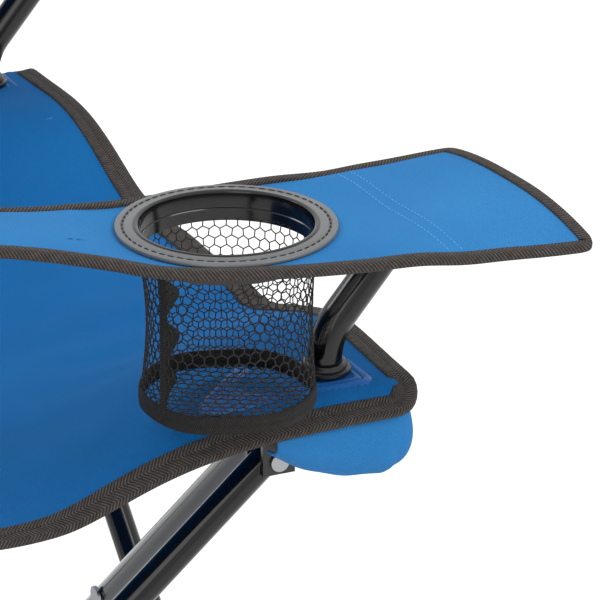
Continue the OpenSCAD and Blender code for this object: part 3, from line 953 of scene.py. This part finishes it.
links = [
    (flat[:-1], flat[1:]),
    (flat[:, :-1][((i + j) % 2 == 1)[:, :-1]], flat[:, 1:][((i + j) % 2 == 1)[:, :-1]]),
]
starts = np.concatenate([a.reshape(-1, 2) for a, b in links])
ends = np.concatenate([b.reshape(-1, 2) for a, b in links])
keep = np.maximum(np.linalg.norm(starts, axis=1), np.linalg.norm(ends, axis=1)) < netSet["radiusFoot"]
sag = lambda q: np.concatenate(
    [q + [ringX, ringY], (floorZ - 0.002 * (1 - (np.linalg.norm(q, axis=1, keepdims=True) / 0.041) ** 2))], 1,
)
floorNet = rods("net_floor", sag(starts[keep]), sag(ends[keep]), netSet["thread"], netThread, "hub_fr")
a = np.linspace(0, 2 * np.pi, 240)[:-1]
bandPath = np.stack(
    [
        ringX + netSet["radiusFoot"] * np.cos(a), ringY + netSet["radiusFoot"] * np.sin(a),
        floorZ + 0.0030 + 0.0006 * np.sin(5 * a),
    ],
    -1,
)
bandOut = np.stack([np.cos(a), np.sin(a), np.zeros(239)], -1)
bandHalf = netSet["band"] / 2
bandProfile = np.array([
    [0.0002, -bandHalf], [0.0012, -bandHalf], [0.0016, -bandHalf * 0.3], [0.0011, 0],
    [0.0016, bandHalf * 0.3], [0.0012, bandHalf], [0.0002, bandHalf], [-0.0004, 0],
])
band = recalc(sweep("net_band", bandPath, bandOut, bandProfile, netTape, "hub_fr", True))
t = np.linspace(0.02, 0.97, 60)
seamAngle = np.radians(110 - 1 * t) + 0.012 * np.sin(9 * t)
seamPath = netWall(seamAngle, t)
seamOut = unit(seamPath - np.array([ringX, ringY, 0]) - np.array([0, 0, 1]) * seamPath[:, 2:])
tapeFlat = np.array([
    [0.0003, -0.0024], [0.0011, -0.0023], [0.0019, 0], [0.0011, 0.0023], [0.0003, 0.0024], [0.0, 0],
])
seamTape = recalc(sweep("net_seam", seamPath, seamOut, tapeFlat, netTape, "hub_fr"))
# The net's spare edge stands in from the seam as a crumpled flap.
u, v = np.meshgrid(t, np.linspace(0, 1, 10), indexing="ij")
flap = netWall(np.radians(109 - 1 * u) - v * (0.17 + 0.05 * np.sin(u * 17)), u)
inside = np.stack([ringX + 0 * u, ringY + 0 * u, flap[..., 2]], -1) - flap
flap = flap + unit(inside) * (0.009 * v * (1 + 0.5 * np.sin(u * 23 + 2 * v)))[..., None]
flapCloth = recalc(cloth("net_flap", flap, 0.0006, np.stack([u * 0.08, v * 0.012], -1), netTape, "hub_fr"))
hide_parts("cup_net")
print("stage: cup")


# Corner pouches: a soft pocket under each front corner, wrapped round the hub.
pouchSet = {"out": 0.0475, "round": 0.019, "reach": 0.032, "depth": 0.038, "bulge": 0.0040, "tuck": 0.010}


def pouchSurface():
    # From the seat's edge down and under: bulges outwards, deepest beside the corner, then tucks inwards.
    e, r, far = pouchSet["out"], pouchSet["round"], pouchSet["reach"]
    quarterTurn = np.linspace(0, np.pi / 2, 40)
    arc = np.stack([-(e - r) - r * np.cos(quarterTurn), -(e - r) - r * np.sin(quarterTurn)], -1)
    first = np.stack([np.full(40, -e), np.linspace(far, -(e - r), 40)], -1)[:-1]
    line = np.concatenate([first, arc, first[::-1, ::-1]])
    travelled = np.concatenate([[0], np.cumsum(np.linalg.norm(np.diff(line, axis=0), axis=1))])
    fine = np.linspace(0, travelled[-1], 160)
    line = np.stack([np.interp(fine, travelled, line[:, k]) for k in (0, 1)], -1)
    outward = unit(np.stack([np.gradient(line[:, 1]), -np.gradient(line[:, 0])], -1))
    outward = outward * np.sign((outward * line).sum(-1, keepdims=True).mean())
    u = fine / travelled[-1]
    v = np.linspace(0, 1, 40)
    uu, vv = np.meshgrid(u, v, indexing="ij")
    corner = np.abs(2 * uu - 1)
    deep = pouchSet["depth"] * (1 - 0.60 * corner**2.6)
    down = deep * np.sin(vv * np.pi / 2)
    push = (
        pouchSet["bulge"] * np.sin(np.pi * np.minimum(vv * 1.25, 1))
        - pouchSet["tuck"] * (1 - np.cos(vv * np.pi / 2)) ** 1.5
    )
    push = (
        push + 0.0003 * np.sin(uu * 26) * np.sin(np.pi * vv)
        - 0.0014 * np.exp(-(((uu - 0.42 - 0.08 * vv) / 0.026) ** 2)) * np.sin(np.pi * vv)
    )
    place = line[:, None] + outward[:, None] * push[..., None]
    z = 0.4385 - down + 0.0003 * np.sin(uu * 40) * vv
    return np.stack([place[..., 0] - half, place[..., 1] - half + centreY, z], -1), np.stack(
        [uu * travelled[-1], vv * 0.045], -1,
    )


pouch, pouchUv = pouchSurface()
pouchParts = {}
for sideName, flip, body in (("right", False, "hub_fr"), ("left", True, "hub_fl")):
    p = mirrored(pouch) if flip else pouch
    made = recalc(cloth("pouch_cloth_" + sideName, p, 0.0016, pouchUv, armCloth, body))
    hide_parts("corner_pouch_" + sideName)
    hubPlace = np.array([(-half if not flip else half), -half + centreY, 0])
    out3 = unit(p[:, 30] - hubPlace - p[:, 30] * np.array([0, 0, 1]))
    hem = stitches(
        "pouch_hem_" + sideName, p[:, 31] + out3 * 0.0012, out3,
        {"long": 0.0024, "gap": 0.0013, "thread": 0.00026}, thread, body,
    )
    pouchParts[sideName] = (made, [hem])
print("stage: pouches")


# Back poles with a smooth bend, and the back cloth sewn into sleeves round them.
backSet = {
    "bendZ": 0.650, "lean": 10, "top": 0.221, "bend": 0.09, "sleeve": 0.0098, "sag": 0.011, "thick": 0.0018,
    "low": 0.4735, "high": 0.213, "tall": 0.385, "wrapped": 0.014, "belly": 0.24, "pleat": 0.016,
    "pleatWide": 0.062,
}


def poleLine(z0, high, count):
    # Straight up, an arc, then leaning back; returns (y, z) evenly spaced.
    lean, r = math.radians(backSet["lean"]), backSet["bend"]
    cut = r * math.tan(lean / 2)
    t = np.linspace(0, lean, 16)
    arc = np.stack([r * (1 - np.cos(t)), backSet["bendZ"] - cut + r * np.sin(t)], -1)
    end = np.array([high * math.sin(lean), backSet["bendZ"] + high * math.cos(lean)])
    line = np.concatenate([[[0, z0]], arc, [end]])
    travelled = np.concatenate([[0], np.cumsum(np.linalg.norm(np.diff(line, axis=0), axis=1))])
    fine = np.linspace(0, travelled[-1], count)
    return np.stack([np.interp(fine, travelled, line[:, k]) for k in (0, 1)], -1)


poleFlat = poleLine(0.0082, backSet["top"], 90)
for sideName, flip, body in (("right", False, "foot_rr"), ("left", True, "foot_rl")):
    path = np.stack([np.full(90, -out), out + centreY + poleFlat[:, 0], poleFlat[:, 1]], -1)
    path = mirrored(path) if flip else path
    across = np.tile([1.0, 0, 0], (90, 1))
    made = sharpen(recalc(tubeAlong("pole_" + sideName, path, across, 0.008, 0.0068, blackTube, body)))
    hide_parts("back_pole_" + sideName)

rise = poleLine(backSet["low"], backSet["high"], 130)
wrap = np.radians(np.linspace(20, -270, 34))
r = backSet["sleeve"]
loopX, loopY = r * np.cos(wrap), -r * np.sin(wrap)
leftLoop = np.stack([-out + loopX, loopY], -1)
across = np.linspace(-out, out, 132)[1:-1]
flatLine = np.stack([across, np.full(130, -r)], -1)
cross = np.concatenate([leftLoop, flatLine, leftLoop[::-1] * [-1, 1]])
x = cross[:, 0][None] * np.ones((130, 1))
s = np.linspace(0, 1, 130)[:, None]
mid = np.clip(1 - (x / out) ** 2, 0, 1)
inPanel = (np.arange(len(cross)) >= 34) & (np.arange(len(cross)) < 164)
y = rise[:, :1] + cross[None, :, 1] + inPanel * (backSet["sag"] * mid * (0.6 + 0.4 * np.sin(np.pi * s)))
y = (
    y
    + inPanel * mid * (0.0016 * np.sin(x * 41 + 5 * s) * np.sin(np.pi * s) + 0.0012 * np.sin(x * 17 - 9 * s))
)
z = rise[:, 1:] + inPanel * mid * (-0.022 * s**3 + 0.014 * (1 - s) ** 3)
backGrid = np.stack([x, out + centreY + y, z], -1)
backUv = np.stack(
    [
        np.concatenate([
            [0], np.cumsum(np.linalg.norm(np.diff(cross, axis=0), axis=1)),
        ])[None] * np.ones((130, 1)),
        z,
    ],
    -1,
)
# The back takes the cloth copy that is darkened as painted shade.
back = recalc(cloth("back_cloth", backGrid, backSet["thick"], backUv, shadedSeatCloth, "foot_rr"))
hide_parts("back_panel")
backParts = []
for label, row, way in (("top", -1, 1), ("foot", 0, -1)):
    path = backGrid[row, 34:164]
    outwards = np.tile([0, 0, way * 1.0], (130, 1))
    folded = bindingProfile(0.014, 0.012, 0.0019)
    part = recalc(sweep("back_binding_" + label, path, outwards, folded, tape, "foot_rr"))
    backParts.append(part)
for sign in (-1, 1):
    for inset in (0.016, 0.020):
        column = int(np.argmin(np.abs(cross[34:164, 0] - sign * (out - inset)))) + 34
        line = backGrid[2:-2, column] - np.array([0, backSet["thick"] / 2 + 0.0001, 0])
        name = f"back_seam_{'rl'[sign > 0]}_{int(inset * 1000)}"
        forwards = np.tile([0, -1.0, 0], (len(line), 1))
        sleeveStitch = {"long": 0.0024, "gap": 0.0012, "thread": 0.00026}
        backParts.append(stitches(name, line, forwards, sleeveStitch, thread, "foot_rr"))
for part in [back] + backParts:
    p = vertsOf(part)
    between = p[:, 0] / (out - backSet["wrapped"])
    share = (between + 1) / 2
    loose = np.clip(1 - between**2, 0, 1)
    # The rising hubs push the sleeves up, and the cloth between bellies backwards in soft pleats.
    pushed = np.clip(1 - (p[:, 2] - backSet["low"]) / backSet["tall"], 0, 1)
    bent = lambda z: np.maximum(z - backSet["bendZ"], 0) * math.tan(math.radians(backSet["lean"]))
    backwards = (bent(p[:, 2] + foldRise * pushed) - bent(p[:, 2])) / foldTravel
    belly = (
        backSet["belly"] * loose
        + backSet["pleat"] * loose * (1 + np.sin(p[:, 0] * 2 * np.pi / backSet["pleatWide"]))
    )
    follow(part, {"foot_rl": share, "foot_fr": belly + backwards, "hub_rr": pushed})
print("stage: back")


# The moulded and turned CAD parts keep their shape: a merged copy gets softened edges and its finish.
def finished(name, material, edge):
    import bmesh
    source = frame["nodes"][name]
    mesh = source.data.copy()
    work = bmesh.new()
    work.from_mesh(mesh)
    bmesh.ops.remove_doubles(work, verts=work.verts, dist=2e-6)
    bmesh.ops.dissolve_limit(work, angle_limit=math.radians(1), verts=work.verts, edges=work.edges)
    work.to_mesh(mesh)
    work.free()
    mesh.materials.clear()
    mesh.materials.append(material)
    mesh.polygons.foreach_set("use_smooth", np.full(len(mesh.polygons), True))
    made = bpy.data.objects.new("finished_" + name, mesh)
    bpy.context.scene.collection.objects.link(made)
    sharpen(made, 30)
    bevel = made.modifiers.new("soft edges", "BEVEL")
    bevel.width = edge
    bevel.segments = 2
    bevel.limit_method = "ANGLE"
    bevel.angle_limit = math.radians(40)
    bevel.use_clamp_overlap = True
    return made


bodyOf = {node: body for body, nodes in frame["record"]["behaviour"]["bodies"].items() for node in nodes}
for name, body in bodyOf.items():
    if name.startswith(("foot_pins", "hub_pins", "rivet")):
        material, edge, slotName = zinc, 0.0003, "steel_pin"
    elif name.startswith(("foot_", "hub_", "post_cap", "pole_cap")):
        material, edge, slotName = blackPlastic, 0.0007, "black_plastic"
    else:
        continue
    made = finished(name, material, edge)
    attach(made, body)
    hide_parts(name)
print("stage: moulded parts")


for sideName in ("right", "left"):
    made, extras = armParts[sideName]
    made, extras = pouchParts[sideName]


# Pale flat floor, and soft light from three large panels.
stageSet = {"floor": "#f7f7f7", "world": 1.0, "key": 34, "fill": 14, "rim": 22}
floorMesh = bpy.data.meshes.new("floor")
floorMesh.from_pydata([(-8, -8, 0), (8, -8, 0), (8, 8, 0), (-8, 8, 0)], [], [(0, 1, 2, 3)])
floor = bpy.data.objects.new("floor", floorMesh)
bpy.context.scene.collection.objects.link(floor)
floorMesh.materials.append(plainMaterial("pale studio floor", {"colour": stageSet["floor"], "rough": 0.7}))
world = bpy.data.worlds.new("studio")
world.use_nodes = True
world.node_tree.nodes["Background"].inputs[0].default_value = (1, 1, 1, 1)
world.node_tree.nodes["Background"].inputs[1].default_value = stageSet["world"]
bpy.context.scene.world = world
bpy.context.scene.view_settings.view_transform = "Standard"


def panel(name, place, aim, power, wide, tall):
    lamp = bpy.data.lights.new(name, "AREA")
    lamp.shape = "RECTANGLE"
    lamp.size, lamp.size_y, lamp.energy = wide, tall, power
    made = bpy.data.objects.new(name, lamp)
    bpy.context.scene.collection.objects.link(made)
    made.location = place
    made.rotation_euler = (Vector(aim) - Vector(place)).to_track_quat("-Z", "Y").to_euler()


panel("key", (-1.6, -1.4, 2.4), (0, 0, 0.5), stageSet["key"], 1.6, 1.6)
panel("fill", (-2.2, 1.6, 1.6), (0, 0, 0.5), stageSet["fill"], 1.4, 1.8)
panel("rim", (1.6, 1.4, 2.2), (0, 0, 0.5), stageSet["rim"], 1.2, 1.2)

print("stage: done")
